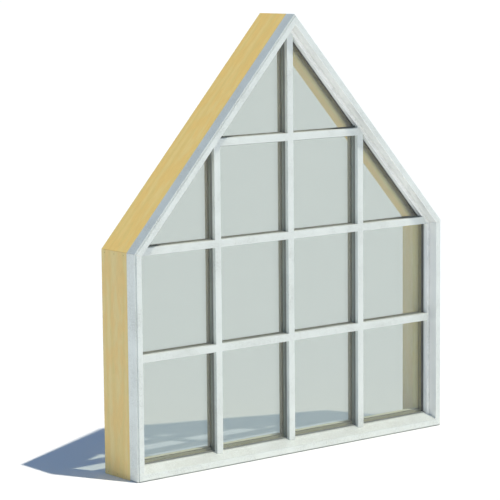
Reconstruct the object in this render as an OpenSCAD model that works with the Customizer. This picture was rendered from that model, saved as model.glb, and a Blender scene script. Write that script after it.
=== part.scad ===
// Gable-headed picture window, fixed and direct glazed.
// Wood frame with extruded aluminium cladding outside, a sealed double-glazed unit,
// and divided-lite bars on both faces of the glass.
//
// Frame of the model: X across the width, Y from the outside (-) to the room (+), Z up.
// The origin is at the middle of the frame's width and depth, on its base.
// Sections are drawn as [y, d]: y is the depth behind the outside face of the cladding,
// d is the distance inward from the outer edge of the frame.

/* [Overall] */
// Width of the frame
frame_w = 1143; // [900:1:1500]
// Height of the jambs, from the base to the eaves
eave_h = 635; // [450:1:900]
// Height of the frame, from the base to the peak
peak_h = 1270; // [1050:1:1600]

/* [Wood frame] */
// Thickness of the frame boards
wood_t = 16; // [14:0.5:24]
// Depth of the wood that shows behind the cladding
wood_d = 119; // [90:1:180]
// Chamfer on the boards' room-side inner edge
wood_ease = 1.5; // [0.5:0.5:3]

/* [Cladding] */
// Depth of the cladding, from its face to the wood
clad_d = 41; // [36:0.5:55]
// Wall thickness of the cladding
clad_t = 2; // [1.2:0.1:2.5]
// Width of the cladding's outside face
flange_w = 21; // [19:0.5:30]
// Width of the rebate round the outer edge of the face
rebate_w = 4; // [2:0.5:7]
// Depth of the rebate round the outer edge of the face
rebate_d = 4; // [2:0.5:7]
// Chamfer on the cladding's exposed corners
clad_ease = 0.8; // [0.3:0.1:1.2]
// Rise of the sill's wash, from the face up to the glass
wash_rise = 19.5; // [12:0.5:26]

/* [Glazing beads] */
// Depth from the cladding's face back to the beads
bead_set = 28.5; // [22:0.5:32]
// Width of the beads
bead_w = 11.7; // [9:0.1:18]
// Wall thickness of the beads
bead_t = 1.5; // [1:0.1:2]

/* [Glazing unit] */
// Thickness of each pane
pane_t = 3; // [3:0.5:6]
// Thickness of the whole unit
unit_t = 19; // [16:0.5:28]
// Clearance between the unit's edge and the jambs and heads
edge_clear = 5; // [3:0.5:8]
// Height of the setting blocks that carry the unit
block_h = 6; // [4:0.5:8]
// Length of each setting block
block_l = 100; // [60:5:150]
// Distance from the unit's edge to the edge spacer
spacer_set = 2; // [1:0.5:3]
// Width of the edge spacer
spacer_w = 8; // [6:0.5:9]
// Width of the flat bars between the panes
grid_w = 16; // [10:0.5:20]

/* [Room-side stops] */
// Depth of the stops behind the glass
stop_d = 32.5; // [20:0.5:45]
// Height of the stops on the jambs and heads
stop_h = 22.5; // [18:0.5:30]
// Height of the stop on the sill
sill_stop_h = 30.5; // [26:0.5:40]
// Radius of the stops' room-side edge
stop_r = 7; // [2:0.5:12]

/* [Bars] */
// Width of the bars on both faces of the glass
bar_w = 22; // [16:0.5:32]
// Depth of the bars on each face of the glass
bar_d = 16; // [10:0.5:20]
// Edge radius of the outside bars
face_bar_r = 1.5; // [0.5:0.5:4]
// Edge radius of the room-side bars
room_bar_r = 5; // [1:0.5:6]
// Height of the upper bar above the point where the side bars meet the head stops
upper_bar_lift = 3; // [0:0.5:8]

/* [Clearances] */
// Gap left along a member at each mitre
mitre_gap = 0.2; // [0.1:0.05:0.4]
// Gap between parts that lie against each other
fit_gap = 0.3; // [0.1:0.05:0.5]
// Gap round a bar where it laps another
lap_gap = 0.1; // [0.05:0.05:0.3]

/* [Hidden] */

// Colours
wood_colour = "#d9c285";
clad_colour = "#e4e9e6";
glass_colour = [0.72, 0.80, 0.78, 0.35];
spacer_colour = "#5d605c";
block_colour = "#2c2d2c";

// Sides of the frame, anticlockwise as seen from outside
SILL = 0;
JAMB_RIGHT = 1;
HEAD_RIGHT = 2;
HEAD_LEFT = 3;
JAMB_LEFT = 4;
SIDES = 5;

// Directions from the glass to each face
OUTSIDE = -1;
ROOM = 1;

// Segments in a quarter of a rounded edge
ROUND_STEPS = 6;
// How far a cutting shape runs past what it cuts
over = 2;
// Inset to which a member's cell runs, past the deepest section
mitre_depth = 60;

frame_d = clad_d + wood_d;
y_face = -frame_d / 2;
pitch = atan2(peak_h - eave_h, frame_w / 2);

// Depths behind the face
glass_y = clad_d + 0.5;
room_glass_y = glass_y + unit_t;

// Insets from the outer edge
bead_edge = flange_w + bead_w;
stop_edge = wood_t + stop_h;
sill_stop_top = wood_t + sill_stop_h;
wash_top = flange_w + wash_rise;
unit_edge = wood_t + edge_clear;
unit_base = wood_t + block_h;
nose_out = clad_t + fit_gap;
nose_in = flange_w - clad_t - fit_gap;
nose_y = rebate_d + clad_t + fit_gap;

// Centre lines of the bars
bay_w = (frame_w - 2 * stop_edge) / 4;
BAR_X = [-bay_w, 0, bay_w];
lower_bar_z = (wash_top + eave_h) / 2;
upper_bar_z = head_z(bay_w, stop_edge) + upper_bar_lift;
BAR_Z = [lower_bar_z, eave_h, upper_bar_z];

// ---------- Outline of the frame ----------

// Height of a sloping head at distance x from the middle, inset by d
function head_z(x, d) = peak_h - abs(x) * tan(pitch) - d / cos(pitch);

// Pentagon inset by d, with its base at height z
function outline(d, z) =
    let (x = frame_w / 2 - d)
    [[-x, z], [x, z], [x, head_z(x, d)], [0, head_z(0, d)], [-x, head_z(x, d)]];

CORNERS = outline(0, 0);

function start_of(side) = CORNERS[side];
function end_of(side) = CORNERS[(side + 1) % SIDES];
function run_of(side) = norm(end_of(side) - start_of(side));
function along(side) = (end_of(side) - start_of(side)) / run_of(side);
function inward(side) = [-along(side)[1], along(side)[0]];
function heading(side) = atan2(along(side)[1], along(side)[0]);

// Half of the inside angle at the start corner of a side
function half_angle(side) =
    (180 - (heading(side) - heading((side + SIDES - 1) % SIDES) + 360) % 360) / 2;

// Distance along a side at which a mitre reaches the inset d
function mitre_run(side, d) = d / tan(half_angle(side)) + mitre_gap;

// Point at distance u along a side and inset d
function place(side, u, d) = start_of(side) + along(side) * u + inward(side) * d;

// Region that a member may fill; an end is mitred unless a square cut is given
function member_cell(side, start_cut = undef, end_cut = undef) =
    let (
        next = (side + 1) % SIDES,
        s = function(d) is_undef(start_cut) ? mitre_run(side, d) : start_cut,
        e = function(d) run_of(side) - (is_undef(end_cut) ? mitre_run(next, d) : end_cut)
    )
    [place(side, s(-over), -over), place(side, e(-over), -over),
     place(side, e(mitre_depth), mitre_depth), place(side, s(mitre_depth), mitre_depth)];

// ---------- Sections ----------

// Quarter arc of a rounded corner
function arc(centre, r, from, to) =
    [for (i = [0 : ROUND_STEPS]) centre + r * [cos(from + (to - from) * i / ROUND_STEPS),
                                               sin(from + (to - from) * i / ROUND_STEPS)]];

// Unit direction from a to b, and the unit normal on its right
function direction(a, b) = (b - a) / norm(b - a);
function right_normal(a, b) = let (v = direction(a, b)) [v[1], -v[0]];

// A path with a chamfer on each corner that turns right
function chamfered(path, size) =
    let (last = len(path) - 1)
    [for (i = [0 : last])
        let (
            in = direction(path[max(i - 1, 0)], path[max(i, 1)]),
            out = direction(path[min(i, last - 1)], path[min(i + 1, last)])
        )
        each (cross(in, out) < 0 ? [path[i] - in * size, path[i] + out * size] : [path[i]])];

// A path thickened by t on its right, with its outer corners chamfered
function sheet(path, t, ease) =
    let (
        last = len(path) - 1,
        n = [for (i = [0 : last - 1]) right_normal(path[i], path[i + 1])],
        inner = [for (i = [0 : last])
            let (a = n[max(i - 1, 0)], b = n[min(i, last - 1)])
            path[i] + t * (a + b) / (1 + a * b)],
        outer = chamfered(path, ease)
    )
    concat(inner, [for (i = [len(outer) - 1 : -1 : 0]) outer[i]]);

// Outer edge, rebate and face of the cladding
CLAD_FRONT = [[clad_d, 0], [rebate_d, 0], [rebate_d, rebate_w], [0, rebate_w], [0, flange_w]];
CLAD_SECTION = sheet(concat(CLAD_FRONT, [[clad_d, flange_w]]), clad_t, clad_ease);
CLAD_SILL_SECTION = sheet(concat(CLAD_FRONT, [[clad_d, wash_top]]), clad_t, clad_ease);

// Glazing bead, a channel open towards the glass
BEAD_SECTION = sheet([
    [clad_d, flange_w + fit_gap], [bead_set, flange_w + fit_gap],
    [bead_set, bead_edge], [clad_d, bead_edge]
], bead_t, clad_ease);

// Frame board, with a nose that fills the cladding
WOOD_SECTION = [
    [nose_y, nose_out], [clad_d, nose_out], [clad_d, 0], [frame_d, 0],
    [frame_d, wood_t - wood_ease], [frame_d - wood_ease, wood_t],
    [clad_d, wood_t], [clad_d, nose_in], [nose_y, nose_in]
];
SILL_BOARD_SECTION = [
    [clad_d, 0], [frame_d, 0], [frame_d, wood_t - wood_ease],
    [frame_d - wood_ease, wood_t], [clad_d, wood_t]
];

// Height of the wash's top at depth y
function wash_z(y) = flange_w + wash_rise * y / clad_d;
under_wash = (clad_t + fit_gap) / cos(atan2(wash_rise, clad_d));
SILL_NOSE_SECTION = [
    [nose_y, nose_out], [clad_d, nose_out], [clad_d, wash_z(clad_d) - under_wash],
    [nose_y, wash_z(nose_y) - under_wash]
];

// Room-side stop with a rounded edge
function stop_section(top) =
    let (y0 = room_glass_y + fit_gap, y1 = y0 + stop_d)
    concat([[y0, wood_t + fit_gap], [y1, wood_t + fit_gap]],
           arc([y1 - stop_r, top - stop_r], stop_r, 0, 90),
           [[y0, top]]);

// Section of a bar as [across, height off the glass], with its outer edges rounded
function bar_section(w, h, r) =
    concat([[-w / 2, 0], [w / 2, 0]],
           arc([w / 2 - r, h - r], r, 0, 90),
           arc([-w / 2 + r, h - r], r, 90, 180));

// ---------- Placing ----------

// Draws a [y, d] section along a side of the frame
module on_side(side, section) {
    a = start_of(side);
    translate([a[0], y_face, a[1]]) rotate([0, -heading(side), 0]) rotate([90, 0, 90])
        translate([0, 0, -over]) linear_extrude(run_of(side) + 2 * over) polygon(section);
}

// Plate on an [x, z] outline between two depths
module plate(points, y0, y1) {
    translate([0, y_face + y1, 0]) rotate([90, 0, 0]) linear_extrude(y1 - y0) polygon(points);
}

// One member of the frame, cut to its cell
module member(side, section, start_cut = undef, end_cut = undef) {
    intersection() {
        on_side(side, section);
        plate(member_cell(side, start_cut, end_cut), -over, frame_d + over);
    }
}

// Everything that lies below the sill's wash
module below_wash() {
    back = clad_d + over;
    translate([-frame_w / 2 - over, y_face, 0]) rotate([90, 0, 90])
        linear_extrude(frame_w + 2 * over)
            polygon([[0, -over], [back, -over], [back, wash_z(back) + fit_gap],
                     [0, wash_z(0) + fit_gap]]);
}

// ---------- Wood frame ----------

module wood_sill() {
    color(wood_colour) union() {
        member(SILL, SILL_BOARD_SECTION, wood_t + fit_gap, wood_t + fit_gap);
        member(SILL, SILL_NOSE_SECTION, flange_w + fit_gap, flange_w + fit_gap);
    }
}

// The jambs' boards reach the base; their noses stand inside the sill's cladding
module wood_jamb(side) {
    down = side == JAMB_RIGHT;
    color(wood_colour) difference() {
        member(side, WOOD_SECTION, down ? 0 : undef, down ? undef : 0);
        translate([-frame_w / 2 - over, y_face - over, -over])
            cube([frame_w + 2 * over, clad_d + over, nose_out + over]);
    }
}

module wood_jamb_left() wood_jamb(JAMB_LEFT);
module wood_jamb_right() wood_jamb(JAMB_RIGHT);
module wood_head_left() color(wood_colour) member(HEAD_LEFT, WOOD_SECTION);
module wood_head_right() color(wood_colour) member(HEAD_RIGHT, WOOD_SECTION);

// ---------- Cladding ----------

// The face is mitred to the jambs, and the wash runs on between their returns
module clad_sill() {
    between = flange_w + fit_gap;
    corner = [for (u = [between, run_of(SILL) - between]) place(SILL, u, 0)[0]];
    cell = [
        place(SILL, mitre_run(SILL, -over), -over),
        place(SILL, run_of(SILL) - mitre_run(JAMB_RIGHT, -over), -over),
        [corner[1], between - mitre_gap], [corner[1], mitre_depth],
        [corner[0], mitre_depth], [corner[0], between - mitre_gap]
    ];
    color(clad_colour) intersection() {
        on_side(SILL, CLAD_SILL_SECTION);
        plate(cell, -over, clad_d);
    }
}

module clad_jamb_left() color(clad_colour) member(JAMB_LEFT, CLAD_SECTION);
module clad_jamb_right() color(clad_colour) member(JAMB_RIGHT, CLAD_SECTION);
module clad_head_left() color(clad_colour) member(HEAD_LEFT, CLAD_SECTION);
module clad_head_right() color(clad_colour) member(HEAD_RIGHT, CLAD_SECTION);

// ---------- Glazing beads ----------

// The jamb beads stand on the sill's wash
module bead_jamb(side) {
    color(clad_colour) difference() {
        member(side, BEAD_SECTION);
        below_wash();
    }
}

module bead_jamb_left() bead_jamb(JAMB_LEFT);
module bead_jamb_right() bead_jamb(JAMB_RIGHT);
module bead_head_left() color(clad_colour) member(HEAD_LEFT, BEAD_SECTION);
module bead_head_right() color(clad_colour) member(HEAD_RIGHT, BEAD_SECTION);

// ---------- Glazing unit ----------

module pane(y) {
    color(glass_colour) plate(outline(unit_edge, unit_base), y, y + pane_t);
}

module glass_outer() pane(glass_y);
module glass_inner() pane(room_glass_y - pane_t);

module edge_spacer() {
    y0 = glass_y + pane_t;
    y1 = room_glass_y - pane_t;
    far = spacer_set + spacer_w;
    color(spacer_colour) difference() {
        plate(outline(unit_edge + spacer_set, unit_base + spacer_set), y0, y1);
        plate(outline(unit_edge + far, unit_base + far), y0 - over, y1 + over);
    }
}

// Flat bars between the panes, fused where they cross
module spacer_grid() {
    y0 = glass_y + pane_t;
    depth = unit_t - 2 * pane_t;
    edge = spacer_set + spacer_w + fit_gap;
    color(spacer_colour) intersection() {
        union() {
            for (x = BAR_X)
                translate([x - grid_w / 2, y_face + y0, 0]) cube([grid_w, depth, peak_h]);
            for (z = BAR_Z)
                translate([-frame_w / 2, y_face + y0, z - grid_w / 2])
                    cube([frame_w, depth, grid_w]);
        }
        plate(outline(unit_edge + edge, unit_base + edge), y0 - over, y0 + depth + over);
    }
}

module setting_blocks() {
    color(block_colour) for (x = [-frame_w / 4, frame_w / 4])
        translate([x - block_l / 2, y_face + glass_y, wood_t])
            cube([block_l, unit_t, block_h]);
}

// ---------- Room-side stops ----------

module stop_sill() {
    inside = wood_t + fit_gap;
    color(wood_colour) member(SILL, stop_section(sill_stop_top), inside, inside);
}

// The jamb stops stand on the sill's stop
module stop_jamb(side) {
    down = side == JAMB_RIGHT;
    foot = sill_stop_top + fit_gap;
    color(wood_colour) member(side, stop_section(stop_edge), down ? foot : undef, down ? undef : foot);
}

module stop_jamb_left() stop_jamb(JAMB_LEFT);
module stop_jamb_right() stop_jamb(JAMB_RIGHT);
module stop_head_left() color(wood_colour) member(HEAD_LEFT, stop_section(stop_edge));
module stop_head_right() color(wood_colour) member(HEAD_RIGHT, stop_section(stop_edge));

// ---------- Bars ----------

// Depth of the glass face that the bars on one side lie on
function seat_y(face) = face == OUTSIDE ? glass_y - fit_gap : room_glass_y + fit_gap;
function bar_r(face) = face == OUTSIDE ? face_bar_r : room_bar_r;

// Length of bar stock, upright at x or level at z, wider by grow all round its sides
module upright_stock(face, x, grow = 0) {
    translate([x, y_face + seat_y(face), 0]) mirror([0, face == OUTSIDE ? 1 : 0, 0])
        linear_extrude(peak_h) polygon(bar_section(bar_w + 2 * grow, bar_d, bar_r(face)));
}

module level_stock(face, z) {
    translate([-frame_w / 2, y_face + seat_y(face), z]) mirror([0, face == OUTSIDE ? 1 : 0, 0])
        rotate([0, 90, 0]) rotate([0, 0, 90])
            linear_extrude(frame_w) polygon([for (p = bar_section(bar_w, bar_d, bar_r(face)))
                                             [p[1], p[0]]]);
}

// Slab between two heights off the glass, from 0 at the glass to 1 at the bar's face
module bar_layer(face, low, high) {
    a = seat_y(face) + face * bar_d * low;
    b = seat_y(face) + face * bar_d * high;
    translate([-frame_w, y_face + min(a, b), -over]) cube([2 * frame_w, abs(b - a), peak_h + 2 * over]);
}

// Trims the bars' ends to the beads and wash outside, and to the stops in the room
module trim_bar(face) {
    edge = face == OUTSIDE ? bead_edge : stop_edge;
    base = face == OUTSIDE ? flange_w : sill_stop_top;
    difference() {
        intersection() {
            children();
            plate(outline(edge + fit_gap, base + fit_gap), 0, frame_d);
        }
        if (face == OUTSIDE) below_wash();
    }
}

// An upright bar: whole in its outer half, notched next to the glass for the level bars
module upright_bar(face, x) {
    trim_bar(face) difference() {
        upright_stock(face, x);
        for (z = BAR_Z) intersection() {
            translate([x - bar_w, y_face, z - bar_w / 2 - lap_gap])
                cube([2 * bar_w, frame_d, bar_w + 2 * lap_gap]);
            bar_layer(face, -0.1, 0.5);
        }
    }
}

// A level bar: whole next to the glass, coped round the upright bars in its outer half
module level_bar(face, z) {
    trim_bar(face) difference() {
        level_stock(face, z);
        for (x = BAR_X) intersection() {
            upright_stock(face, x, lap_gap);
            bar_layer(face, 0.5 - lap_gap / bar_d, 1.1);
        }
    }
}

module face_bar_left() color(clad_colour) upright_bar(OUTSIDE, BAR_X[0]);
module face_bar_centre() color(clad_colour) upright_bar(OUTSIDE, BAR_X[1]);
module face_bar_right() color(clad_colour) upright_bar(OUTSIDE, BAR_X[2]);
module face_bar_lower() color(clad_colour) level_bar(OUTSIDE, BAR_Z[0]);
module face_bar_eave() color(clad_colour) level_bar(OUTSIDE, BAR_Z[1]);
module face_bar_upper() color(clad_colour) level_bar(OUTSIDE, BAR_Z[2]);

module room_bar_left() color(wood_colour) upright_bar(ROOM, BAR_X[0]);
module room_bar_centre() color(wood_colour) upright_bar(ROOM, BAR_X[1]);
module room_bar_right() color(wood_colour) upright_bar(ROOM, BAR_X[2]);
module room_bar_lower() color(wood_colour) level_bar(ROOM, BAR_Z[0]);
module room_bar_eave() color(wood_colour) level_bar(ROOM, BAR_Z[1]);
module room_bar_upper() color(wood_colour) level_bar(ROOM, BAR_Z[2]);

// ---------- Assembly ----------

wood_sill();
wood_jamb_left();
wood_jamb_right();
wood_head_left();
wood_head_right();
clad_sill();
clad_jamb_left();
clad_jamb_right();
clad_head_left();
clad_head_right();
bead_jamb_left();
bead_jamb_right();
bead_head_left();
bead_head_right();
glass_outer();
glass_inner();
edge_spacer();
spacer_grid();
setting_blocks();
stop_sill();
stop_jamb_left();
stop_jamb_right();
stop_head_left();
stop_head_right();
face_bar_left();
face_bar_centre();
face_bar_right();
face_bar_lower();
face_bar_eave();
face_bar_upper();
room_bar_left();
room_bar_centre();
room_bar_right();
room_bar_lower();
room_bar_eave();
room_bar_upper();
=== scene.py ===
"""Gable-headed picture window: its finishes, fine trim, stage, light and camera.

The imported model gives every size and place. This script dresses the model's nodes, eases
their sharp edges, and adds the trim that is too fine for it: glazing seals, filled nails
and the holes in the edge spacer. Lengths are metres, in the model's own frame: X across
the width, Y from the outside (-) to the room (+), Z up.
"""

import logging
import math
from dataclasses import dataclass, field, replace
from enum import Enum

import bmesh
import bpy
from bpy.types import ID, Material, Node, NodeSocket, NodeTree, Object
from mathutils import Euler, Matrix, Vector


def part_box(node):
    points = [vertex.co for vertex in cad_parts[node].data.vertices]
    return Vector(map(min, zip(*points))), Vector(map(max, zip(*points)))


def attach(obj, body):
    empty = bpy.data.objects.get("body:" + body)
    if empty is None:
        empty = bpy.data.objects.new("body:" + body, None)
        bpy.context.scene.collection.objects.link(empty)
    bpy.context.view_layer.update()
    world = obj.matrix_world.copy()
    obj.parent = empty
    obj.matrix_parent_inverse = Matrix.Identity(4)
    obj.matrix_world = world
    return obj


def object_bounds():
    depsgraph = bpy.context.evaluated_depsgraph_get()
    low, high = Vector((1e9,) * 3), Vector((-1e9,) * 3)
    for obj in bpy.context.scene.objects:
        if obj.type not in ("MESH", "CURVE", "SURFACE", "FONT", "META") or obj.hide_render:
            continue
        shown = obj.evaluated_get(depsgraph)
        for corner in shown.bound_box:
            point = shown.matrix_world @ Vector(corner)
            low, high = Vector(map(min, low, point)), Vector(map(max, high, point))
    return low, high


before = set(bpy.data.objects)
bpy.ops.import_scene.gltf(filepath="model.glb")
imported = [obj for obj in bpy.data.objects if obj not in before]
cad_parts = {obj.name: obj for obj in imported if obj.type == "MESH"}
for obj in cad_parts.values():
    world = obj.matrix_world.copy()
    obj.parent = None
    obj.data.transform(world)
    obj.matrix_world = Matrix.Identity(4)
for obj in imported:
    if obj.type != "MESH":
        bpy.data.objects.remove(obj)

log = logging.getLogger("window")

MM = 0.001
CAD_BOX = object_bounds()

# A line on a surface: its start, its end and the way that the surface looks
Line = tuple[Vector, Vector, Vector]

# A mix node's sockets for colours, which share their names with its other kinds
MIX_A, MIX_B = 6, 7
# A wave node turns once in this much of its scaled distance
WAVE_TURN = 2 * math.pi / 20
# Corners of the model's loose triangles that lie this close are one corner
SAME_CORNER = 0.01 * MM
# An edge is sharp, and is eased, where its faces turn by more than this
SHARP = math.radians(35)
# From the window's middle to the point that the camera looks at, to take in its shadow
AIM_OFFSET = Vector((-107.1, 2.1, -38.3)) * MM


# ---------- Helpers ----------


def linear(code: str) -> tuple[float, float, float, float]:
    """Turns an sRGB hex colour into a linear one.

    Args:
        code: the colour as "#RRGGBB".

    Returns:
        Red, green, blue and an alpha of 1.
    """
    parts = [int(code[i : i + 2], 16) / 255 for i in (1, 3, 5)]
    r, g, b = (c / 12.92 if c <= 0.04045 else ((c + 0.055) / 1.055) ** 2.4 for c in parts)
    return r, g, b, 1.0


def add_node(
    tree: NodeTree, kind: str, inputs: dict[str | int, object] | None = None, **settings: object
) -> Node:
    """Adds a node with its settings and links.

    Args:
        tree: the tree that it joins.
        kind: the node's type; a shader node's goes without "ShaderNode".
        inputs: what each input gets, by its name or index: a value, an output, or another
            node, which gives its first output in use.
        settings: its properties; "stops" gives a colour ramp's places and colours.

    Returns:
        The new node.
    """
    node = tree.nodes.new(kind if "Node" in kind else f"ShaderNode{kind}")
    for name, value in settings.items():
        if name == "stops":
            band = node.color_ramp.elements
            while len(band) < len(value):
                band.new(1.0)
            for stop, (place, colour) in zip(band, value):
                stop.position, stop.color = place, colour
        else:
            setattr(node, name, value)
    for name, value in (inputs or {}).items():
        if isinstance(value, Node):
            value = next(output for output in value.outputs if output.enabled)
        if isinstance(value, NodeSocket):
            tree.links.new(value, node.inputs[name])
        else:
            node.inputs[name].default_value = value
    return node


def new_material(name: str) -> tuple[Material, NodeTree]:
    """Makes an empty node material.

    Args:
        name: the material's name.

    Returns:
        The material and its tree.
    """
    material = bpy.data.materials.new(name)
    material.use_nodes = True
    material.node_tree.nodes.clear()
    return material, material.node_tree


def new_object(name: str, data: ID) -> Object:
    """Makes an object and puts it in the scene.

    Args:
        name: the object's name.
        data: its mesh, lamp or camera.

    Returns:
        The object.
    """
    made = bpy.data.objects.new(name, data)
    bpy.context.scene.collection.objects.link(made)
    return made


def dress(node: str, material: Material) -> Object:
    """Gives every material slot of a CAD node one material.

    Args:
        node: the node's name.
        material: its finish.

    Returns:
        The node's object.
    """
    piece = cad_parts[node]
    for place in piece.material_slots:
        place.material = material
    log.info("dressed %s in %s", node, material.name)
    return piece


def ease_edges(piece: Object, width: float) -> None:
    """Rounds a piece's sharp edges a little, as sanding or bending leaves them.

    Args:
        piece: the piece, whose own mesh stays as it is.
        width: how far the rounding reaches from each edge.
    """
    weld = piece.modifiers.new("weld", "WELD")
    weld.merge_threshold = SAME_CORNER
    bevel = piece.modifiers.new("ease", "BEVEL")
    bevel.width = width
    bevel.segments = 2
    bevel.limit_method = "ANGLE"
    bevel.angle_limit = SHARP


def finish_piece(piece: Object) -> None:
    """Puts a new piece on the frame's body.

    Args:
        piece: the finished piece.
    """
    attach(piece, "root")
    log.info("built %s: %d faces", piece.name, len(piece.data.polygons))


# ---------- The frame's shape ----------


class Side(Enum):
    """The five sides of the frame, by the ending of their nodes' names."""

    SILL = "sill"
    JAMB_LEFT = "jamb_left"
    JAMB_RIGHT = "jamb_right"
    HEAD_LEFT = "head_left"
    HEAD_RIGHT = "head_right"


# Angles about Y that stand an upright and a level piece upright, and the names of the bars
UPRIGHT, LEVEL = 0.0, -math.pi / 2
UPRIGHT_BARS, LEVEL_BARS = ("left", "centre", "right"), ("lower", "eave", "upper")


class Face(Enum):
    """The two faces of the glazing, by the direction along Y in which each looks."""

    OUTSIDE = -1
    ROOM = 1


@dataclass(frozen=True)
class Outline:
    """The pentagon of the frame's outer edge, in X and Z.

    Attributes:
        half: half of the width.
        eave: height of the jambs.
        peak: height of the peak.
    """

    half: float
    eave: float
    peak: float

    @classmethod
    def of_frame(cls) -> "Outline":
        """Reads the outline from the cladding of the jambs and the heads."""
        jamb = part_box("clad_jamb_left")
        return cls(half=-jamb[0].x, eave=jamb[1].z, peak=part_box("clad_head_left")[1].z)

    @property
    def pitch(self) -> float:
        """Slope of the heads above the level."""
        return math.atan2(self.peak - self.eave, self.half)

    def turn(self, side: Side) -> float:
        """Finds the angle about Y that stands a side's board upright.

        Args:
            side: the board's side of the frame.

        Returns:
            The angle, in radians.
        """
        slope = math.pi / 2 - self.pitch
        heads = {Side.SILL: LEVEL, Side.HEAD_LEFT: -slope, Side.HEAD_RIGHT: slope}
        return heads.get(side, UPRIGHT)

    def head_z(self, x: float, inset: float) -> float:
        """Height of the heads' edge at x, once it has moved in by inset."""
        return self.peak - abs(x) * math.tan(self.pitch) - inset / math.cos(self.pitch)

    def corners(self, inset: float, base: float) -> list[Vector]:
        """Finds the corners of the outline once its sides have moved in.

        Args:
            inset: how far the jambs and heads have moved in.
            base: height of the sill's side.

        Returns:
            The corners, anticlockwise from the lower left.
        """
        x = self.half - inset
        heights = [(-x, base), (x, base), (x, None), (0.0, None), (-x, None)]
        return [Vector((a, self.head_z(a, inset) if z is None else z)) for a, z in heights]


def sides(points: list[Vector]) -> list[tuple[Vector, Vector]]:
    """Pairs each corner of an outline with the next one round."""
    return list(zip(points, points[1:] + points[:1]))


def clip(points: list[Vector], normal: Vector, limit: float) -> list[Vector]:
    """Keeps the part of a convex outline on one side of a line.

    Args:
        points: the outline's corners in order.
        normal: direction that points out of the kept side.
        limit: greatest distance along the normal that is kept.

    Returns:
        The corners that are left.
    """
    kept = []
    for here, there in sides(points):
        a, b = here.dot(normal) - limit, there.dot(normal) - limit
        if a <= 0:
            kept.append(here)
        if a * b < 0:
            kept.append(here.lerp(there, a / (a - b)))
    return kept


def shrink(points: list[Vector], distance: float) -> list[Vector]:
    """Moves every side of a convex outline in.

    Args:
        points: the outline's corners, anticlockwise.
        distance: how far the sides move.

    Returns:
        The new corners.
    """
    moved = []
    for i, here in enumerate(points):
        before = (here - points[i - 1]).normalized()
        after = (points[(i + 1) % len(points)] - here).normalized()
        turn = 1 + before.dot(after)
        moved.append(here + Vector((-before.y - after.y, before.x + after.x)) * distance / turn)
    return moved


def lines_along(
    points: list[Vector], margin: float, rows: list[float], out: Vector | None = None
) -> list[Line]:
    """Finds lines that follow the sides of an outline.

    Args:
        points: the outline's corners in X and Z, anticlockwise.
        margin: what each line leaves free at both of its ends.
        rows: the lines' places in Y.
        out: the way that the surface under them looks, or None where it looks inwards.

    Returns:
        The lines, with every row of one side before the next side.
    """
    lines = []
    for here, there in sides(points):
        run = (there - here).normalized()
        start, end = here + run * margin, there - run * margin
        facing = Vector((-run.y, 0, run.x)) if out is None else out
        lines += [(Vector((start.x, y, start.y)), Vector((end.x, y, end.y)), facing) for y in rows]
    return lines


# ---------- Finishes ----------

# How far back towards the sill's middle a face in the opening looks, at least and fully
OPENING_LEAST, OPENING_FULL = -50 * MM, -150 * MM
# How squarely a face looks into the room where an OFF_ROOM painted shade ends and is full
ROOM_UNSHADED, ROOM_FULL = 0.8, 0.6
# Distances from the glass at which a BY_GLASS painted shade ends and is full
STRIP_END, STRIP_FULL = 21 * MM, 6 * MM


def in_opening(tree: NodeTree, place: NodeSocket, facing: NodeSocket) -> Node:
    """Finds the faces that look into the opening, back towards the sill's middle.

    Args:
        tree: the material's tree.
        place: the point's place in the window.
        facing: the way that its face looks.

    Returns:
        1 on those faces and 0 on the others.
    """
    outward = add_node(tree, "VectorMath", {0: place, 1: (1.0, 0.0, 1.0)}, operation="MULTIPLY")
    along = add_node(tree, "VectorMath", {0: facing, 1: outward}, operation="DOT_PRODUCT")
    return add_node(
        tree, "MapRange", {"Value": along, "From Min": OPENING_LEAST, "From Max": OPENING_FULL}
    )


class ShadedPart(Enum):
    """The part of a board that gets painted shade."""

    OPENING = "the faces that look into the opening"
    OFF_ROOM = "all but the face that looks into the room"
    BY_GLASS = "the strip beside the glass"


@dataclass(frozen=True)
class PaintedShade:
    """Painted shade: a darker or cooler tone laid thinly over part of a board, where it
    stands in for the shade there, so that the wood still shows.

    Attributes:
        colour: its colour.
        cover: how much of the wood it hides.
        shaded_part: where it is painted.
    """

    colour: str
    cover: float
    shaded_part: ShadedPart


@dataclass(frozen=True)
class Grain:
    """How a board was cut from its log.

    Attributes:
        turn: angle about Y that stands the board's length upright.
        heart: the log's heart beside the upright board.
    """

    turn: float
    heart: Vector

    @classmethod
    def along(cls, node: str, turn: float, deep: float, across: float) -> "Grain":
        """Places the heart of the log behind the middle of a board.

        Args:
            node: the board's CAD node.
            turn: angle about Y that stands its length upright.
            deep: distance of the heart from the board, through its thickness.
            across: distance of the heart from the middle of its width.

        Returns:
            The board's grain.
        """
        spin = Matrix.Rotation(turn, 3, "Y")
        low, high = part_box(node)
        middle = spin @ ((low + high) / 2)
        return cls(turn, Vector((middle.x + deep, middle.y + across, middle.z)))


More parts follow.
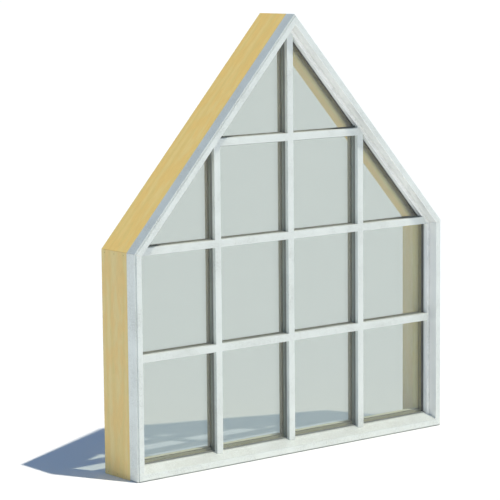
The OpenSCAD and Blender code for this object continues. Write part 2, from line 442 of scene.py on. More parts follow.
@dataclass(frozen=True)
class BarePine:
    """Planed pine, left bare: pale straw, with darker summer wood in soft bands, and dull.

    Attributes:
        spring: colour of the wide, pale part of each ring.
        summer: colour of the narrow, dark part of each ring.
        honey: warmer tone of the resinous patches.
        ring: spacing of the rings.
        fibre: width of the streaks of fibre, drawn coarser than the real 0.3 mm to show.
        patch: size of the resinous patches, 35 of them to the metre.
        relief: height by which the summer wood stands proud.
        painted_shade: the painted shade over part of it, if any.
    """

    spring: str = "#ECD088"
    summer: str = "#E8CA7D"
    honey: str = "#EEC878"
    ring: float = 14 * MM
    fibre: float = 2.5 * MM
    patch: float = 1 / 35
    relief: float = 0.06 * MM
    painted_shade: PaintedShade | None = None

    def add_painted_shade(self, tree: NodeTree, place: NodeSocket, colour: Node) -> Node:
        """Paints the shade over its part of the board.

        Args:
            tree: the material's tree.
            place: the point's place in the window.
            colour: the bare wood's colour.

        Returns:
            The wood's colour with the painted shade.
        """
        facing = add_node(tree, "NewGeometry").outputs["Normal"]
        if self.painted_shade.shaded_part is ShadedPart.OPENING:
            reached = in_opening(tree, place, facing)
        else:
            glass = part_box("glass_inner")[1].y
            source, unshaded, full = {
                ShadedPart.OFF_ROOM: (facing, ROOM_UNSHADED, ROOM_FULL),
                ShadedPart.BY_GLASS: (place, glass + STRIP_END, glass + STRIP_FULL),
            }[self.painted_shade.shaded_part]
            axis = add_node(tree, "SeparateXYZ", {"Vector": source}).outputs["Y"]
            reached = add_node(
                tree, "MapRange", {"Value": axis, "From Min": unshaded, "From Max": full}
            )
        # Painted shade: the wood is mixed towards a darker or cooler tone over this part of the
        # board
        cover = add_node(tree, "Math", {0: reached, 1: self.painted_shade.cover}, operation="MULTIPLY")
        return add_node(
            tree,
            "Mix",
            {"Factor": cover, MIX_A: colour, MIX_B: linear(self.painted_shade.colour)},
            data_type="RGBA",
        )

    def build(self, name: str, grain: Grain) -> Material:
        """Makes the finish for one board.

        Args:
            name: the material's name.
            grain: how the board was cut.

        Returns:
            The material.
        """
        material, tree = new_material(name)
        place = add_node(tree, "TexCoord").outputs["Object"]
        board = add_node(
            tree,
            "Mapping",
            {"Vector": place, "Rotation": Euler((0, grain.turn, 0)), "Location": -grain.heart},
        )
        # Growth changes slowly along the trunk, so patterns are drawn out along it
        drawn = add_node(tree, "VectorMath", {0: board, 1: (1.0, 1.0, 0.1)}, operation="MULTIPLY")
        rings = add_node(
            tree,
            "TexWave",
            {
                "Vector": drawn,
                "Scale": WAVE_TURN / self.ring,
                "Distortion": 9.0,
                "Detail Scale": 0.22,
            },
            wave_type="RINGS",
            rings_direction="Z",
        ).outputs["Fac"]
        colour = add_node(
            tree,
            "ValToRGB",
            {"Fac": rings},
            stops=[(0.2, linear(self.spring)), (1.0, linear(self.summer))],
        )
        # Resin runs less far along it
        spread = add_node(tree, "VectorMath", {0: board, 1: (1.0, 1.0, 0.3)}, operation="MULTIPLY")
        patches = add_node(
            tree,
            "TexNoise",
            {"Vector": spread, "Scale": 1 / self.patch, "Detail": 3.0, "Roughness": 0.55},
        )
        warmth = add_node(
            tree,
            "MapRange",
            {"Value": patches, "From Min": 0.4, "From Max": 0.62, "To Max": 0.7},
            interpolation_type="SMOOTHSTEP",
        )
        warm = add_node(
            tree,
            "Mix",
            {"Factor": warmth, MIX_A: colour, MIX_B: linear(self.honey)},
            data_type="RGBA",
        )
        fibres = add_node(
            tree,
            "TexNoise",
            {"Vector": drawn, "Scale": 1 / self.fibre, "Detail": 3.0, "Roughness": 0.6},
        )
        shade = add_node(
            tree,
            "MapRange",
            {"Value": fibres, "From Min": 0.3, "From Max": 0.7, "To Min": 0.95, "To Max": 1.04},
        )
        streaked = add_node(tree, "VectorMath", {0: warm, "Scale": shade}, operation="SCALE")
        if self.painted_shade:
            streaked = self.add_painted_shade(tree, place, streaked)
        dull = add_node(tree, "MapRange", {"Value": rings, "To Min": 0.72, "To Max": 0.58})
        height = add_node(tree, "Math", {0: rings, 1: fibres}, operation="ADD")
        bump = add_node(tree, "Bump", {"Height": height, "Distance": self.relief, "Strength": 0.8})
        shader = add_node(
            tree,
            "BsdfPrincipled",
            {
                "Base Color": streaked,
                "Roughness": dull,
                "Normal": bump,
                "IOR": 1.45,
                "Specular IOR Level": 0.3,
            },
        )
        add_node(tree, "OutputMaterial", {"Surface": shader})
        return material


@dataclass(frozen=True)
class SatinCoating:
    """White coating baked on to aluminium: cool white, with a soft pearly shine from its
    mica, and the faint orange-peel ripple of sprayed paint. Dust dulls the faces that look
    up. The faces that look into the opening are painted a brighter white, painted light
    that cancels their shade, and a darker band along the foot is a painted contact shadow.

    Attributes:
        white: colour of the coating.
        painted_light_white: the brighter white painted on the faces that look into the
            opening, as painted light.
        kept: how much of that painted light they get.
        dusted: colour where fine dust has settled.
        painted_foot_shade: colour of the painted contact shadow along the foot.
        foot: height that the painted contact shadow reaches.
        pearl: share of the light that the mica mirrors.
        ripple: width of the orange-peel ripple, drawn at twice the real 1.5 mm to show.
        cloud: size of the clouds in which dust settles and gloss varies.
        relief: height of the ripple.
    """

    white: str = "#E1E6E1"
    # Painted light: a brighter white on the faces that look into the opening cancels their shade;
    # kept is how much of it they get
    painted_light_white: str = "#FDFDF9"
    kept: float = 0.9
    dusted: str = "#CFD3CD"
    # Painted shade: a darker grey along the foot stands in for the contact shadow at the floor
    painted_foot_shade: str = "#A3A5A1"
    foot: float = 4 * MM
    pearl: float = 0.33
    ripple: float = 3 * MM
    cloud: float = 90 * MM
    relief: float = 0.03 * MM

    def build(self, name: str) -> Material:
        """Makes the finish.

        Args:
            name: the material's name.

        Returns:
            The material.
        """
        material, tree = new_material(name)
        place = add_node(tree, "TexCoord").outputs["Object"]
        peel = add_node(tree, "TexNoise", {"Vector": place, "Scale": 1 / self.ripple})
        clouds = add_node(
            tree,
            "TexNoise",
            {"Vector": place, "Scale": 1 / self.cloud, "Detail": 4.0, "Roughness": 0.6},
        )
        specks = add_node(tree, "Math", {0: peel, 1: clouds}, operation="MULTIPLY")
        facing = add_node(tree, "NewGeometry").outputs["Normal"]
        # Painted light: faces that look into the opening are mixed towards a brighter white, to
        # cancel their shade
        painted_light_mask = add_node(
            tree, "Math", {0: in_opening(tree, place, facing), 1: self.kept}, operation="MULTIPLY"
        )
        up = add_node(tree, "SeparateXYZ", {"Vector": facing}).outputs["Z"]
        level = add_node(
            tree, "MapRange", {"Value": up, "From Min": 0.68, "From Max": 0.88, "To Max": 0.04}
        )
        settled = add_node(tree, "Math", {0: level, 1: specks}, operation="ADD")
        dust = add_node(
            tree,
            "MapRange",
            {"Value": settled, "From Min": 0.18, "From Max": 0.45},
            interpolation_type="SMOOTHSTEP",
        )
        # Painted shade: darker towards the floor over the lowest few millimetres, a painted contact
        # shadow
        height = add_node(tree, "SeparateXYZ", {"Vector": place}).outputs["Z"]
        foot_shade_mask = add_node(
            tree,
            "MapRange",
            {"Value": height, "From Min": self.foot, "From Max": self.foot / 2, "To Max": 0.8},
        )
        colour = linear(self.white)
        for cover, tone in ((dust, self.dusted), (painted_light_mask, self.painted_light_white), (foot_shade_mask, self.painted_foot_shade)):
            colour = add_node(
                tree, "Mix", {"Factor": cover, MIX_A: colour, MIX_B: linear(tone)}, data_type="RGBA"
            )
        rough = add_node(
            tree,
            "MapRange",
            {"Value": clouds, "From Min": 0.3, "From Max": 0.7, "To Min": 0.3, "To Max": 0.42},
        )
        bump = add_node(tree, "Bump", {"Height": peel, "Distance": self.relief, "Strength": 0.6})
        shader = add_node(
            tree,
            "BsdfPrincipled",
            {"Base Color": colour, "Metallic": self.pearl, "Roughness": rough, "Normal": bump},
        )
        add_node(tree, "OutputMaterial", {"Surface": shader})
        return material


@dataclass(frozen=True)
class FloatGlass:
    """Coated float glass: clear, a little green and grey, with the faint roller wave of
    toughened panes.

    Attributes:
        tint: colour that one pane passes, seen straight through.
        lamp_tint: colour that each of its faces passes to light from the lamp.
        inner_tint: the same, where the lit surface is itself seen through the glass.
        wave: length of the roller wave.
        relief: height of the wave.
    """

    tint: str = "#EDF2EF"
    lamp_tint: str = "#E6E9E6"
    inner_tint: str = "#F4F8FF"
    wave: float = 250 * MM
    relief: float = 0.05 * MM

    def build(self, name: str) -> Material:
        """Makes the finish.

        Args:
            name: the material's name.

        Returns:
            The material.
        """
        material, tree = new_material(name)
        place = add_node(tree, "TexCoord").outputs["Object"]
        roller = add_node(
            tree,
            "TexWave",
            {
                "Vector": place,
                "Scale": WAVE_TURN / self.wave,
                "Distortion": 1.5,
                "Detail Scale": 0.5,
            },
            wave_type="BANDS",
            bands_direction="Z",
        ).outputs["Fac"]
        bump = add_node(tree, "Bump", {"Height": roller, "Distance": self.relief, "Strength": 0.3})
        glass = add_node(
            tree,
            "BsdfPrincipled",
            {
                "Base Color": linear(self.tint),
                "Roughness": 0.0,
                "IOR": 1.52,
                "Transmission Weight": 1.0,
                "Normal": bump,
            },
        )
        # Lamp light and bounced light go straight through, so that they reach the room side;
        # each face tints the first and leaves the second
        path = add_node(tree, "LightPath").outputs
        passed = add_node(
            tree,
            "Mix",
            {
                "Factor": path["Transmission Depth"],
                MIX_A: linear(self.lamp_tint),
                MIX_B: linear(self.inner_tint),
            },
            data_type="RGBA",
        )
        open_glass = add_node(tree, "BsdfTransparent", {"Color": passed})
        surface = add_node(tree, "MixShader", {0: path["Is Shadow Ray"], 1: glass, 2: open_glass})
        clear = add_node(tree, "BsdfTransparent")
        surface = add_node(tree, "MixShader", {0: path["Is Diffuse Ray"], 1: surface, 2: clear})
        add_node(tree, "OutputMaterial", {"Surface": surface})
        return material


@dataclass(frozen=True)
class PlainFinish:
    """A dull finish with a fine mottle, for the small pieces.

    Attributes:
        colour: its usual colour.
        second: the colour that it drifts to.
        mottle: size of the mottle.
        rough: its roughness, from smooth to dull.
        metal: how much of it is bare metal.
        relief: height of its surface texture.
    """

    colour: str
    second: str
    mottle: float
    rough: tuple[float, float]
    metal: float = 0.0
    relief: float = 0.02 * MM

    def build(self, name: str) -> Material:
        """Makes the finish.

        Args:
            name: the material's name.

        Returns:
            The material.
        """
        material, tree = new_material(name)
        place = add_node(tree, "TexCoord").outputs["Object"]
        mottle = add_node(
            tree, "TexNoise", {"Vector": place, "Scale": 1 / self.mottle, "Detail": 3.0}
        )
        colour = add_node(
            tree,
            "Mix",
            {"Factor": mottle, MIX_A: linear(self.colour), MIX_B: linear(self.second)},
            data_type="RGBA",
        )
        rough = add_node(
            tree, "MapRange", {"Value": mottle, "To Min": self.rough[0], "To Max": self.rough[1]}
        )
        bump = add_node(tree, "Bump", {"Height": mottle, "Distance": self.relief, "Strength": 0.6})
        shader = add_node(
            tree,
            "BsdfPrincipled",
            {"Base Color": colour, "Metallic": self.metal, "Roughness": rough, "Normal": bump},
        )
        add_node(tree, "OutputMaterial", {"Surface": shader})
        return material


# Anodised aluminium box section round the edge of the unit: dark bronze-grey, satin
EDGE_SPACER = PlainFinish("#54524A", "#32322D", 3 * MM, (0.4, 0.5), metal=0.3)
# Anodised aluminium bars between the panes: grey with a green cast, satin
GRID_SPACER = PlainFinish("#B0B4AC", "#A3A79F", 3 * MM, (0.4, 0.5), metal=0.3)
# Moulded EPDM rubber: near black and dull
BLOCK_RUBBER = PlainFinish("#2A2B2B", "#353636", 1.5 * MM, (0.75, 0.9))
# Cured neutral silicone against the bars and the sill: mid grey with a soft sheen
BAR_SILICONE = PlainFinish("#7C807A", "#72766F", 2 * MM, (0.35, 0.5))
# The same against the beads: white, to vanish beside the coating
BEAD_SILICONE = PlainFinish("#E4E8E4", "#D8DCD8", 2 * MM, (0.35, 0.5))
# The same on the room side: tan, to vanish beside the pine
STOP_SILICONE = PlainFinish("#8A7D5E", "#7F7458", 2 * MM, (0.35, 0.5))
# Wood filler over set nails: a shade darker than the pine, and chalky
NAIL_FILLER = PlainFinish("#B99A63", "#AD8E58", 0.8 * MM, (0.8, 0.95), relief=0.05 * MM)
# Punched hole, drawn as a near-black disc: painted shade for the dark inside of the hole
SHADED_HOLE = PlainFinish("#161614", "#24231F", 0.5 * MM, (0.8, 0.9), relief=0.1 * MM)


# ---------- Repeated small pieces ----------


@dataclass(frozen=True)
class Stud:
    """A small round head or hole that repeats along lines on a surface.

    Attributes:
        name: the finished piece's name.
        slot: the finish slot that it shares; not used.
        spacing: distance between heads.
        diameter: width of a head.
        depth: thickness of a head, half of it proud of the surface.
        sides: corners of a head's outline.
        spread: how much the heads' sizes differ.
    """

    name: str
    slot: str
    spacing: float
    diameter: float
    depth: float
    sides: int = 12
    spread: float = 0.1

    def tree(self, sockets: dict[str, tuple[str, object]]) -> NodeTree:
        """Builds the node tree that sets a head at each step along the lines.

        Args:
            sockets: the kind and the value of each input, by its name.

        Returns:
            A tree with those inputs.
        """
        tree = bpy.data.node_groups.new(f"{self.name}_pattern", "GeometryNodeTree")
        face = tree.interface
        face.new_socket("Geometry", in_out="INPUT", socket_type="NodeSocketGeometry")
        for name, (kind, _) in sockets.items():
            face.new_socket(name, in_out="INPUT", socket_type=f"NodeSocket{kind}")
        face.new_socket("Geometry", in_out="OUTPUT", socket_type="NodeSocketGeometry")
        given = add_node(tree, "NodeGroupInput").outputs
        path = add_node(tree, "GeometryNodeMeshToCurve", {"Mesh": given["Geometry"]})
        steps = add_node(
            tree,
            "GeometryNodeResampleCurve",
            {"Curve": path, "Length": given["Spacing"]},
            mode="LENGTH",
        )
        head = add_node(
            tree,
            "GeometryNodeMeshCylinder",
            {"Vertices": given["Sides"], "Radius": given["Radius"], "Depth": given["Depth"]},
        )
        facing = add_node(
            tree, "GeometryNodeInputNamedAttribute", {"Name": "facing"}, data_type="FLOAT_VECTOR"
        )
        turned = add_node(tree, "FunctionNodeAlignRotationToVector", {"Vector": facing}, axis="Z")
        size = add_node(
            tree, "FunctionNodeRandomValue", {2: given["Least"], 3: 1.0, "Seed": given["Seed"]}
        )
        heads = add_node(
            tree,
            "GeometryNodeInstanceOnPoints",
            {"Points": steps, "Instance": head, "Rotation": turned, "Scale": size},
        )
        solid = add_node(tree, "GeometryNodeRealizeInstances", {"Geometry": heads})
        dressed = add_node(
            tree, "GeometryNodeSetMaterial", {"Geometry": solid, "Material": given["Finish"]}
        )
        add_node(tree, "NodeGroupOutput", {"Geometry": dressed})
        return tree

    def build(self, lines: list[Line], finish: Material, seed: int = 1) -> None:
        """Sets heads along lines and makes them one plain mesh.

        Args:
            lines: the lines, which start and end with a head.
            finish: the heads' material.
            seed: seed of their sizes.
        """
        mesh = bpy.data.meshes.new(self.name)
        points = [p for start, end, _ in lines for p in (start, end)]
        mesh.from_pydata(points, [(i, i + 1) for i in range(0, len(points), 2)], [])
        facing = mesh.attributes.new("facing", "FLOAT_VECTOR", "POINT")
        for i, (_, _, out) in enumerate(lines):
            facing.data[2 * i].vector = facing.data[2 * i + 1].vector = out
        sockets = {
            "Spacing": ("Float", self.spacing),
            "Radius": ("Float", self.diameter / 2),
            "Depth": ("Float", self.depth),
            "Sides": ("Int", self.sides),
            "Least": ("Float", 1 - self.spread),
            "Seed": ("Int", seed),
            "Finish": ("Material", finish),
        }
        guide = new_object(f"{self.name}_guide", mesh)
        pattern = guide.modifiers.new("pattern", "NODES")
        pattern.node_group = self.tree(sockets)
        for socket in pattern.node_group.interface.items_tree:
            if socket.name in sockets:
                pattern[socket.identifier] = sockets[socket.name][1]
        ready = guide.evaluated_get(bpy.context.evaluated_depsgraph_get())
        piece = new_object(self.name, bpy.data.meshes.new_from_object(ready))
        bpy.data.objects.remove(guide)
        finish_piece(piece)


# ---------- Sub-assemblies ----------


@dataclass
class WoodFrame:
    """The pine boards of the frame, and the nails that hold them.

    Attributes:
        outline: the frame's outer edge.
        ease: rounding that sanding leaves on the boards' edges.
        nail: the filled nail heads on the outer faces.
        nail_edge: distance of the nails from a joint.
        finish: the wood of the sill and the heads, with a cooler painted shade on the faces
            that look into the opening.
        shade_toned_jamb_finish: a paler, cooler copy of the pine for the jambs, painted light
            toned for the shade on their sides, with the same painted shade in the opening.
    """

    outline: Outline
    ease: float = 0.5 * MM
    nail: Stud = Stud("frame_nails", "frame_wood", 44 * MM, 2.6 * MM, 0.12 * MM)
    nail_edge: float = 8 * MM
    # Painted shade: a cooler tone on the faces that look into the opening, on both pines
    finish: BarePine = BarePine(painted_shade=PaintedShade("#DEBD8D", 0.3, ShadedPart.OPENING))
    # Painted light: the jambs' paler, cooler copy of the pine is toned for the shade on their sides
    shade_toned_jamb_finish: BarePine = BarePine(
        "#F0D898", "#ECD28C", "#F3CF87", painted_shade=PaintedShade("#D8D2BE", 0.3, ShadedPart.OPENING)
    )

    def grains(self) -> dict[Side, Grain]:
        """Chooses how each board was cut, so that no two show the same figure.

        Returns:
            The grain of each board.
        """
        hearts = {
            Side.SILL: (55 * MM, 20 * MM),
            Side.JAMB_LEFT: (48 * MM, 6 * MM),
            Side.JAMB_RIGHT: (-62 * MM, -14 * MM),
            Side.HEAD_LEFT: (52 * MM, -8 * MM),
            Side.HEAD_RIGHT: (-58 * MM, 18 * MM),
        }
        return {
            side: Grain.along(f"wood_{side.value}", self.outline.turn(side), *heart)
            for side, heart in hearts.items()
        }

    def build(self) -> None:
        """Dresses the boards and sets their nails."""
        for side, grain in self.grains().items():
            pine = self.shade_toned_jamb_finish if "jamb" in side.value else self.finish
            material = pine.build(f"bare_pine_{side.value}", grain)
            ease_edges(dress(f"wood_{side.value}", material), self.ease)
        self.nail.build(self.nail_lines(), NAIL_FILLER.build("nail_filler"))

    def nail_lines(self) -> list[Line]:
        """Finds the lines of three nails through each board beside its joints.

        Returns:
            The lines, each as long as two of the nails' spacings.
        """
        middle = (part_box("clad_jamb_left")[1].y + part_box("wood_jamb_left")[1].y) / 2
        front, back = middle - self.nail.spacing, middle + self.nail.spacing
        half, eave, peak = self.outline.half, self.outline.eave, self.outline.peak
        sine, cosine = math.sin(self.outline.pitch), math.cos(self.outline.pitch)
        lines = []
        for hand in (-1, 1):
            side, rise = Vector((hand, 0, 0)), Vector((0, 0, self.nail_edge))
            out, up = Vector((hand * sine, 0, cosine)), Vector((-hand * cosine, 0, sine))
            foot, top = Vector((hand * half, 0, eave)), Vector((0, 0, peak))
            places = [
                (side * half + rise, side),
                (foot - rise, side),
                (foot + up * self.nail_edge, out),
                (top - up * self.nail_edge, out),
            ]
            for place, direction in places:
                start, end = (Vector((place.x, y, place.z)) for y in (front, back))
                lines.append((start, end, direction))
        return lines


@dataclass
class Cladding:
    """The coated aluminium outside: frame cladding, glazing beads and face bars.

    Attributes:
        frame_finish: coating of the cladding.
        bead_finish: coating of the beads, which stand deep in the opening: all of it the
            painted-light brighter white.
        bar_finish: coating of the bars, which gets none of the painted-light brighter white.
        ease: rounding of the corners that the extrusion die leaves.
    """

    frame_finish: SatinCoating = SatinCoating()
    # Painted light: the beads are coated all over in the brighter white that cancels their shade;
    # the bars get none of it
    bead_finish: SatinCoating = SatinCoating(white=SatinCoating.painted_light_white)
    bar_finish: SatinCoating = SatinCoating(painted_light_white=SatinCoating.white)
    ease: float = 0.4 * MM

    def build(self) -> None:
        """Dresses every coated node."""
        coatings = {
            "clad_": self.frame_finish.build("baked_white_cladding"),
            "bead_": self.bead_finish.build("baked_white_beads"),
            "face_bar_": self.bar_finish.build("baked_white_bars"),
        }
        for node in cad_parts:
            for part, coating in coatings.items():
                if node.startswith(part):
                    ease_edges(dress(node, coating), self.ease)


@dataclass
class GlazingUnit:
    """The sealed unit: two panes, the spacers between them and the blocks under it.

    Attributes:
        outline: the frame's outer edge.
        glass: the finish of both panes.
        hole: the punched holes that face the gap, as two rows in each side.
        row: distance of each row from the middle of the gap.
        section: height of the edge spacer's section, from its outer side to its holes.
    """

    outline: Outline
    glass: FloatGlass = FloatGlass()
    hole: Stud = Stud("spacer_holes", "spacer", 7 * MM, 1.4 * MM, 0.06 * MM, sides=8, spread=0.0)
    row: float = 2.5 * MM
    section: float = 8 * MM

    def build(self) -> None:
        """Dresses the unit and punches the edge spacer."""
        glass = self.glass.build("coated_float_glass")
        for node in ("glass_outer", "glass_inner"):
            dress(node, glass)
        dress("edge_spacer", EDGE_SPACER.build("bronze_anodised_spacer"))
        dress("spacer_grid", GRID_SPACER.build("grey_anodised_grid"))
        dress("setting_blocks", BLOCK_RUBBER.build("setting_block_rubber"))
        self.hole.build(self.hole_lines(), SHADED_HOLE.build("spacer_hole"))

    def hole_lines(self) -> list[Line]:
        """Finds the two rows of holes along each inner side of the edge spacer.

        Returns:
            The rows, a hole's spacing short of the corners.
        """
        low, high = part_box("edge_spacer")
        inset = self.outline.half - high.x + self.section
        points = self.outline.corners(inset, low.z + self.section)
        middle = (low.y + high.y) / 2
        return lines_along(points, self.hole.spacing, [middle - self.row, middle + self.row])


@dataclass
class GlazingSeals:
    """The silicone fillets that seal the glass to the beads, stops and bars.

    Attributes:
        outline: the frame's outer edge.
        reach: how far a fillet runs over the glass.
        rise: how far it climbs the bars and beads outside; inside it climbs by its reach.
        gap: clearance between the fillet and what it seals.
    """

    outline: Outline
    reach: float = 2.3 * MM
    rise: float = 4.6 * MM
    gap: float = 0.05 * MM

    def build(self) -> None:
        """Seals both faces of the unit."""
        beads = BEAD_SILICONE.build("white_silicone")
        bars = BAR_SILICONE.build("grey_silicone")
        stops = STOP_SILICONE.build("tan_silicone")
        self.fillets(Face.OUTSIDE, beads, bars)
        self.fillets(Face.ROOM, stops, stops)

    def openings(self, face: Face) -> tuple[list[Vector], list[list[Vector]]]:
        """Outlines of the glass that shows on one face.

        Args:
            face: the face of the glazing.

        Returns:
            The corners of the whole pane, and those of each opening between the bars, all
            anticlockwise.
        """
        bar, edge, sill = {
            Face.OUTSIDE: ("face_bar_", "bead_jamb_left", "clad_sill"),
            Face.ROOM: ("room_bar_", "stop_jamb_left", "stop_sill"),
        }[face]
        inset = self.outline.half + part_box(edge)[1].x + self.gap
        pane = self.outline.corners(inset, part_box(sill)[1].z + self.gap)
        # A line beyond the outline stands for the missing bar at each end
        far = 2 * self.outline.peak
        x_edges = [-far, *(corner.x for n in UPRIGHT_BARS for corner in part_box(bar + n)), far]
        z_edges = [-far, *(corner.z for n in LEVEL_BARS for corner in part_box(bar + n)), far]
        found = []
        for x0, x1 in zip(x_edges[::2], x_edges[1::2]):
            for z0, z1 in zip(z_edges[::2], z_edges[1::2]):
                cell = pane
                for way, edge in (((1, 0), x1), ((-1, 0), -x0), ((0, 1), z1), ((0, -1), -z0)):
                    cell = clip(cell, Vector(way), edge - self.gap)
                if len(cell) > 2:
                    found.append(cell)
        return pane, found

    def at_bead(self, start: Vector, end: Vector, pane: list[Vector]) -> bool:
        """Tells whether a side of an opening runs along a bead or, inside, a stop.

        Args:
            start: one end of the side.
            end: its other end.
            pane: the corners of the whole pane, whose first side is the sill's.

        Returns:
            True there, and False along a bar or the sill.
        """
        middle = (start + end) / 2
        for here, there in sides(pane)[1:]:
            run = (there - here).normalized()
            if abs(run.cross(middle - here)) < self.gap / 2:
                return True
        return False

    def fillets(self, face: Face, bead_finish: Material, bar_finish: Material) -> None:
        """Runs a fillet round each opening of one face.

        Args:
            face: the face of the glazing.
            bead_finish: the seal's material along the beads or stops.
            bar_finish: its material along the bars and the sill.
        """
        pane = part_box("glass_outer" if face is Face.OUTSIDE else "glass_inner")
        glass = pane[0].y if face is Face.OUTSIDE else pane[1].y
        near = glass + face.value * self.gap
        far = near + face.value * (self.rise if face is Face.OUTSIDE else self.reach)
        mesh = bmesh.new()
        pane_edge, openings = self.openings(face)
        for corners in openings:
            rings = [(corners, near), (shrink(corners, self.reach), near), (corners, far)]
            loops = [[mesh.verts.new((p.x, y, p.y)) for p in ring] for ring, y in rings]
            for i, here in enumerate(corners):
                j = (i + 1) % len(corners)
                on_bar = not self.at_bead(here, corners[j], pane_edge)
                for a, b in zip(loops, loops[1:] + loops[:1]):
                    strip = mesh.faces.new((a[i], a[j], b[j], b[i]))
                    strip.material_index = int(on_bar)
        bmesh.ops.recalc_face_normals(mesh, faces=mesh.faces)
        name = f"glazing_seal_{face.name.lower()}"
        data = bpy.data.meshes.new(name)
        mesh.to_mesh(data)
        mesh.free()
        data.materials.append(bead_finish)
        data.materials.append(bar_finish)
        finish_piece(new_object(name, data))


@dataclass
class RoomTrim:
    """The pine stops and bars on the room side, and the stops' nails.

    Attributes:
        outline: the frame's outer edge.
        ease: rounding that sanding leaves on their edges.
        nail: the filled nail heads along the stops.
        nail_edge: distance of the nails from a corner.
        finish: the bare wood.
        painted_shades: the painted shade of some pieces, by the start of their nodes' names.
    """

    outline: Outline
    ease: float = 0.4 * MM
    nail: Stud = Stud("stop_nails", "trim_wood", 175 * MM, 2.2 * MM, 0.12 * MM)
    nail_edge: float = 45 * MM
    finish: BarePine = BarePine("#DCCC90", "#D9C584", "#DEC480", ring=5 * MM, fibre=2 * MM)
    # Painted shade: darker strips beside the glass on the stops, darkened sides on the bars, and a
    # cooler tone over the sill's stop
    painted_shades: dict[str, PaintedShade] = field(
        default_factory=lambda: {
            "stop_sill": PaintedShade("#DCD2B8", 0.5, ShadedPart.OFF_ROOM),
            "stop_head": PaintedShade("#80754F", 0.9, ShadedPart.BY_GLASS),
            "stop_jamb": PaintedShade("#857B5C", 0.4, ShadedPart.BY_GLASS),
            "room_bar": PaintedShade("#8A8474", 0.85, ShadedPart.OFF_ROOM),
        }
    )

    def build(self) -> None:
        """Dresses the stops and bars and nails the stops."""
        turns = {f"stop_{side.value}": self.outline.turn(side) for side in Side}
        turns |= {f"room_bar_{name}": UPRIGHT for name in UPRIGHT_BARS}
        turns |= {f"room_bar_{name}": LEVEL for name in LEVEL_BARS}
        for i, (node, turn) in enumerate(turns.items()):
            # No two hearts lie alike, so that no two pieces show the same figure
            deep, across = (40 + 7 * (i % 4)) * MM, (5 * (i % 3) - 5) * MM
            grain = Grain.along(node, turn, deep, across)
            pine = self.finish
            for part, painted_shade in self.painted_shades.items():
                if node.startswith(part):
                    pine = replace(pine, painted_shade=painted_shade)
            ease_edges(dress(node, pine.build(f"pine_{node}", grain)), self.ease)
        self.nail.build(self.nail_lines(), NAIL_FILLER.build("stop_nail_filler"), seed=4)

    def nail_lines(self) -> list[Line]:
        """Finds the line of nails along the middle of each stop's room face.

        Returns:
            The lines, one for each stop.
        """
        stop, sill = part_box("stop_jamb_left"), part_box("stop_sill")
        inset = self.outline.half + (stop[0].x + stop[1].x) / 2
        points = self.outline.corners(inset, (sill[0].z + sill[1].z) / 2)
        return lines_along(points, self.nail_edge, [stop[1].y], Vector((0, 1, 0)))


# ---------- Stage, light and camera ----------


@dataclass(frozen=True)
class Viewpoint:
    """Where the camera stands, as seen from what it aims at.

    Attributes:
        aim: the point that it looks at.
        azimuth: its turn to the left of the front, in degrees.
        elevation: its height above the aim, in degrees.
        roll: its tilt about its own axis, in degrees.
        distance: its distance from the aim.
        lens: its focal length, in millimetres.
        film: width of its film, in millimetres.
        reach: distance up to which it sees the floor.
    """

    aim: Vector
    azimuth: float = 38.69
    elevation: float = 7.79
    roll: float = -0.51
    distance: float = 6.3635
    lens: float = 159.6
    film: float = 36.0
    reach: float = 500.0

    def build(self) -> None:
        """Sets up the scene's camera."""
        data = bpy.data.cameras.new("camera")
        data.lens = self.lens
        data.sensor_width = self.film
        data.clip_end = self.reach
        camera = new_object("camera", data)
        turn = Euler((math.radians(90 - self.elevation), 0, -math.radians(self.azimuth)))
        pose = turn.to_matrix() @ Matrix.Rotation(math.radians(self.roll), 3, "Z")
        camera.matrix_world = pose.to_4x4()
        camera.location = self.aim + pose @ Vector((0, 0, self.distance))
        bpy.context.scene.camera = camera


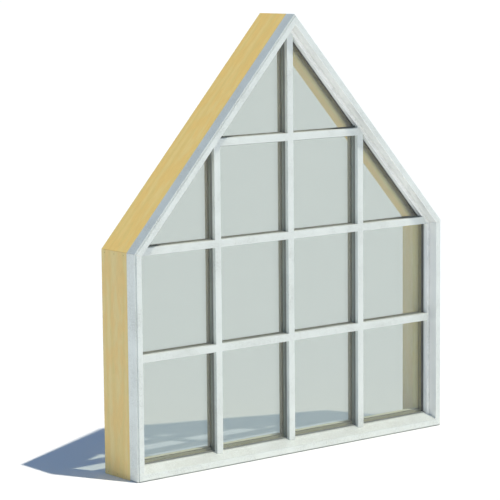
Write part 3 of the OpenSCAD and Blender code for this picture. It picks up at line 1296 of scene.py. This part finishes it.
@dataclass
class Studio:
    """A pale floor under one sun-like lamp and a soft dome of cool light.

    Attributes:
        floor_size: length of the floor's sides.
        floor_drop: depth of the floor under the window, which keeps their faces apart.
        to_sun: direction from the window to the lamp.
        sun_power: the lamp's strength.
        sun_colour: the lamp's colour.
        sun_angle: the lamp's width, in degrees.
        floor_white: the floor's colour.
        behind_glass: its colour where it is seen through the glass.
        glow_behind: the light that it gives off there, which keeps its shadow pale.
        sky: the dome's colours, by the height at which each stands.
        backdrop: the dome as the camera sees it.
        backdrop_behind: the same, seen through the glass.
    """

    floor_size: float = 240.0
    floor_drop: float = 0.2 * MM
    to_sun: Vector = field(default_factory=lambda: Vector((0.176, -0.354, 0.919)))
    sun_power: float = 3.1
    sun_colour: str = "#FFF9EA"
    sun_angle: float = 1.0
    floor_white: str = "#FDFDFD"
    behind_glass: str = "#B1A69C"
    glow_behind: str = "#8896A0"
    sky: tuple[tuple[float, str], ...] = (
        (0.0, "#FBFCFD"), (0.1, "#CFDCF0"), (0.35, "#6E869F"), (1.0, "#4B6C98")
    )
    backdrop: str = "#FFFFFF"
    backdrop_behind: str = "#D6D6D6"

    def build(self) -> None:
        """Lays the floor and lights it."""
        self.lay_floor()
        self.hang_sun()
        self.paint_sky()

    def lay_floor(self) -> None:
        """Lays the floor just under the window and marks it as the stage."""
        side = self.floor_size / 2
        data = bpy.data.meshes.new("floor")
        corners = [(-side, -side), (side, -side), (side, side), (-side, side)]
        data.from_pydata([(x, y, -self.floor_drop) for x, y in corners], [], [(0, 1, 2, 3)])
        floor = new_object("floor", data)
        # Matt paper: white, with a soft shadow. The glass shows it darker and warmer
        material, tree = new_material("floor_paper")
        path = add_node(tree, "LightPath").outputs
        bounces = add_node(
            tree, "Math", {0: path["Diffuse Depth"], 1: path["Glossy Depth"]}, operation="ADD"
        )
        through = add_node(
            tree,
            "Math",
            {0: path["Is Transmission Ray"], 1: bounces},
            operation="SUBTRACT",
            use_clamp=True,
        )
        colour = add_node(
            tree,
            "Mix",
            {"Factor": through, MIX_A: linear(self.floor_white), MIX_B: linear(self.behind_glass)},
            data_type="RGBA",
        )
        paper = add_node(tree, "BsdfDiffuse", {"Color": colour})
        pale = add_node(tree, "Emission", {"Color": linear(self.glow_behind), "Strength": through})
        both = add_node(tree, "AddShader", {0: paper, 1: pale})
        add_node(tree, "OutputMaterial", {"Surface": both})
        data.materials.append(material)

    def hang_sun(self) -> None:
        """Hangs the one lamp."""
        data = bpy.data.lights.new("sun", "SUN")
        data.energy = self.sun_power
        data.color = linear(self.sun_colour)[:3]
        data.angle = math.radians(self.sun_angle)
        sun = new_object("sun", data)
        sun.rotation_euler = self.to_sun.to_track_quat("Z", "Y").to_euler()

    def paint_sky(self) -> None:
        """Paints the dome: pale at the horizon, cooler above, and white to the camera."""
        world = bpy.data.worlds.new("dome")
        world.use_nodes = True
        tree = world.node_tree
        tree.nodes.clear()
        direction = add_node(tree, "TexCoord").outputs["Generated"]
        up = add_node(tree, "SeparateXYZ", {"Vector": direction}).outputs["Z"]
        colour = add_node(
            tree, "ValToRGB", {"Fac": up}, stops=[(place, linear(code)) for place, code in self.sky]
        )
        path = add_node(tree, "LightPath").outputs
        for ray, shown in (("Camera", self.backdrop), ("Transmission", self.backdrop_behind)):
            colour = add_node(
                tree,
                "Mix",
                {"Factor": path[f"Is {ray} Ray"], MIX_A: colour, MIX_B: linear(shown)},
                data_type="RGBA",
            )
        light = add_node(tree, "Background", {"Color": colour})
        add_node(tree, "OutputWorld", {"Surface": light})
        bpy.context.scene.world = world


# ---------- Assembly ----------


def main() -> None:
    """Builds every sub-assembly, then the studio round them."""
    logging.basicConfig(level=logging.INFO, format="%(name)s: %(message)s")
    outline = Outline.of_frame()
    log.info("frame %.0f mm wide, %.0f mm high", 2 * outline.half / MM, outline.peak / MM)
    WoodFrame(outline).build()
    Cladding().build()
    GlazingUnit(outline).build()
    GlazingSeals(outline).build()
    RoomTrim(outline).build()
    low, high = CAD_BOX
    middle = (Vector(low) + Vector(high)) / 2
    Viewpoint(aim=middle + AIM_OFFSET).build()
    Studio().build()
    bpy.context.scene.view_settings.view_transform = "Standard"


if __name__ == "__main__":
    main()
